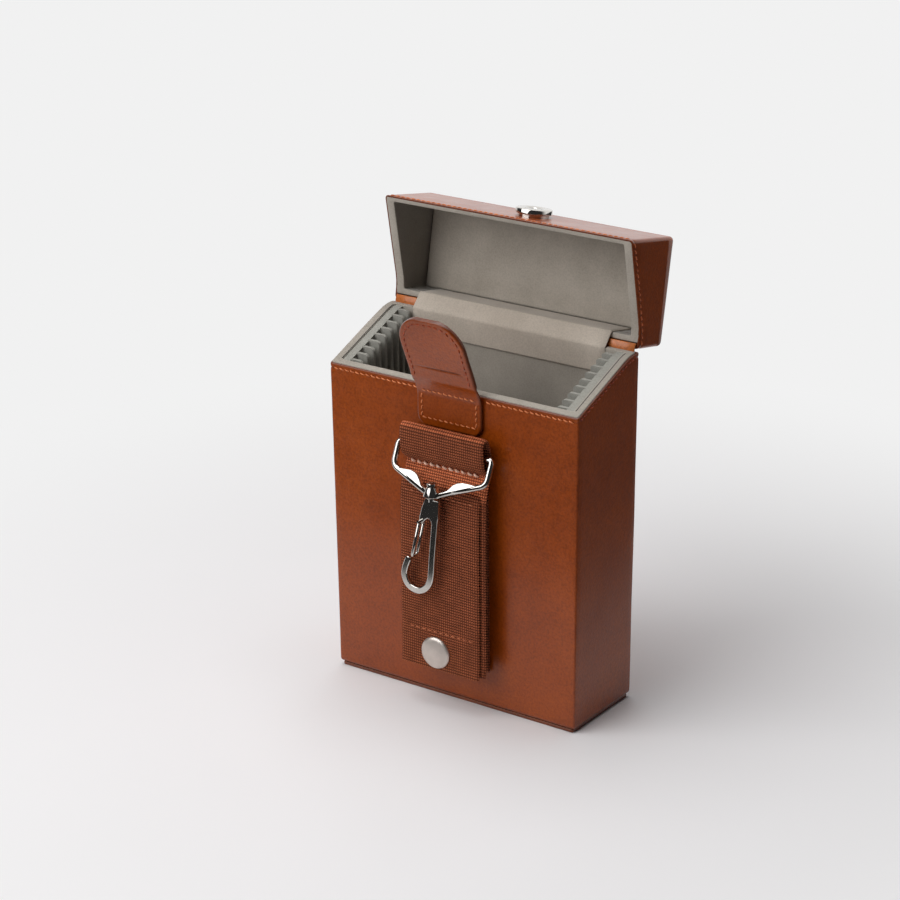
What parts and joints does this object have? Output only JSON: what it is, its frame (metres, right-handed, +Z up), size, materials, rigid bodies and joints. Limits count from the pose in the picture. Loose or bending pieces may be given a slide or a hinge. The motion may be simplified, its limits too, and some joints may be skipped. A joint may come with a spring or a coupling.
{
  "type": "leather plate case",
  "caption": "Upright leather-covered hard case with a slanted rim, hinged wedge lid, toothed side combs for thin plates, magnetic closing tongue and a webbing belt loop with a swivel hook.",
  "frame": {"origin": "middle of the base plate's underside, on the floor", "axes": "+Z up, +X to the right and -Y out of the front wall that carries the strap"},
  "size_m": [0.12, 0.0897, 0.2015],
  "materials": {
    "leather": "satin",
    "lining": "matte",
    "comb_plastic": "matte",
    "webbing": "matte",
    "nickel": "polished"
  },
  "bodies": {
    "case": {"leather_cover": "leather", "front_board": "lining", "back_board": "lining", "left_board": "lining", "right_board": "lining", "base_plate": "leather", "floor_board": "lining", "floor_pad": "lining", "left_comb": "comb_plastic", "right_comb": "comb_plastic", "hinge_leather": "leather", "hinge_fabric": "lining", "tongue_patch": "leather", "strap_backing": "webbing", "strap_tube": "webbing", "snap_stud": "nickel"},
    "lid": {"lid_cover": "leather", "lid_front_board": "lining", "lid_back_board": "lining", "lid_left_board": "lining", "lid_right_board": "lining", "lid_top_board": "lining", "lid_pad": "lining", "lid_magnet": "nickel", "magnet_washer": "nickel"},
    "tongue": {"tongue_flap": "leather", "tongue_facing": "leather", "tongue_stud": "nickel"},
    "flap": {"strap_flap": "webbing", "strap_lining": "webbing", "snap_cap": "nickel", "snap_socket": "nickel"},
    "bail": {"hook_bail": "nickel"},
    "hook": {"hook_body": "nickel", "swivel_pin": "nickel"},
    "gate": {"hook_gate": "nickel"}
  },
  "joints": [
    {"name": "lid_hinge", "type": "hinge", "parent": "case", "child": "lid", "pos_m": [0, 0.0233, 0.153], "axis": [1, 0, 0], "range_deg": [0, 101.3], "deforming": ["hinge_leather", "hinge_fabric"]},
    {"name": "tongue_fold", "type": "hinge", "parent": "case", "child": "tongue", "pos_m": [-0.001, -0.0267, 0.1409], "axis": [1, 0, 0], "range_deg": [-15, 68], "stiffness_Nm_per_rad": 0.02},
    {"name": "strap_fold", "type": "hinge", "parent": "case", "child": "flap", "pos_m": [0, -0.0284, 0.114], "axis": [-1, 0, 0], "range_deg": [0, 50]},
    {"name": "bail_swing", "type": "hinge", "parent": "flap", "child": "bail", "pos_m": [0, -0.0284, 0.114], "axis": [-1, 0, 0], "range_deg": [0, 60]},
    {"name": "hook_swivel", "type": "hinge", "parent": "bail", "child": "hook", "pos_m": [0, -0.03539, 0.09785], "axis": [0, 0, 1], "range_deg": [0, 180]},
    {"name": "gate_pivot", "type": "hinge", "parent": "hook", "child": "gate", "pos_m": [-0.0056, -0.03539, 0.08325], "axis": [0, -1, 0], "range_deg": [0, 25], "stiffness_Nm_per_rad": 0.01}
  ]
}
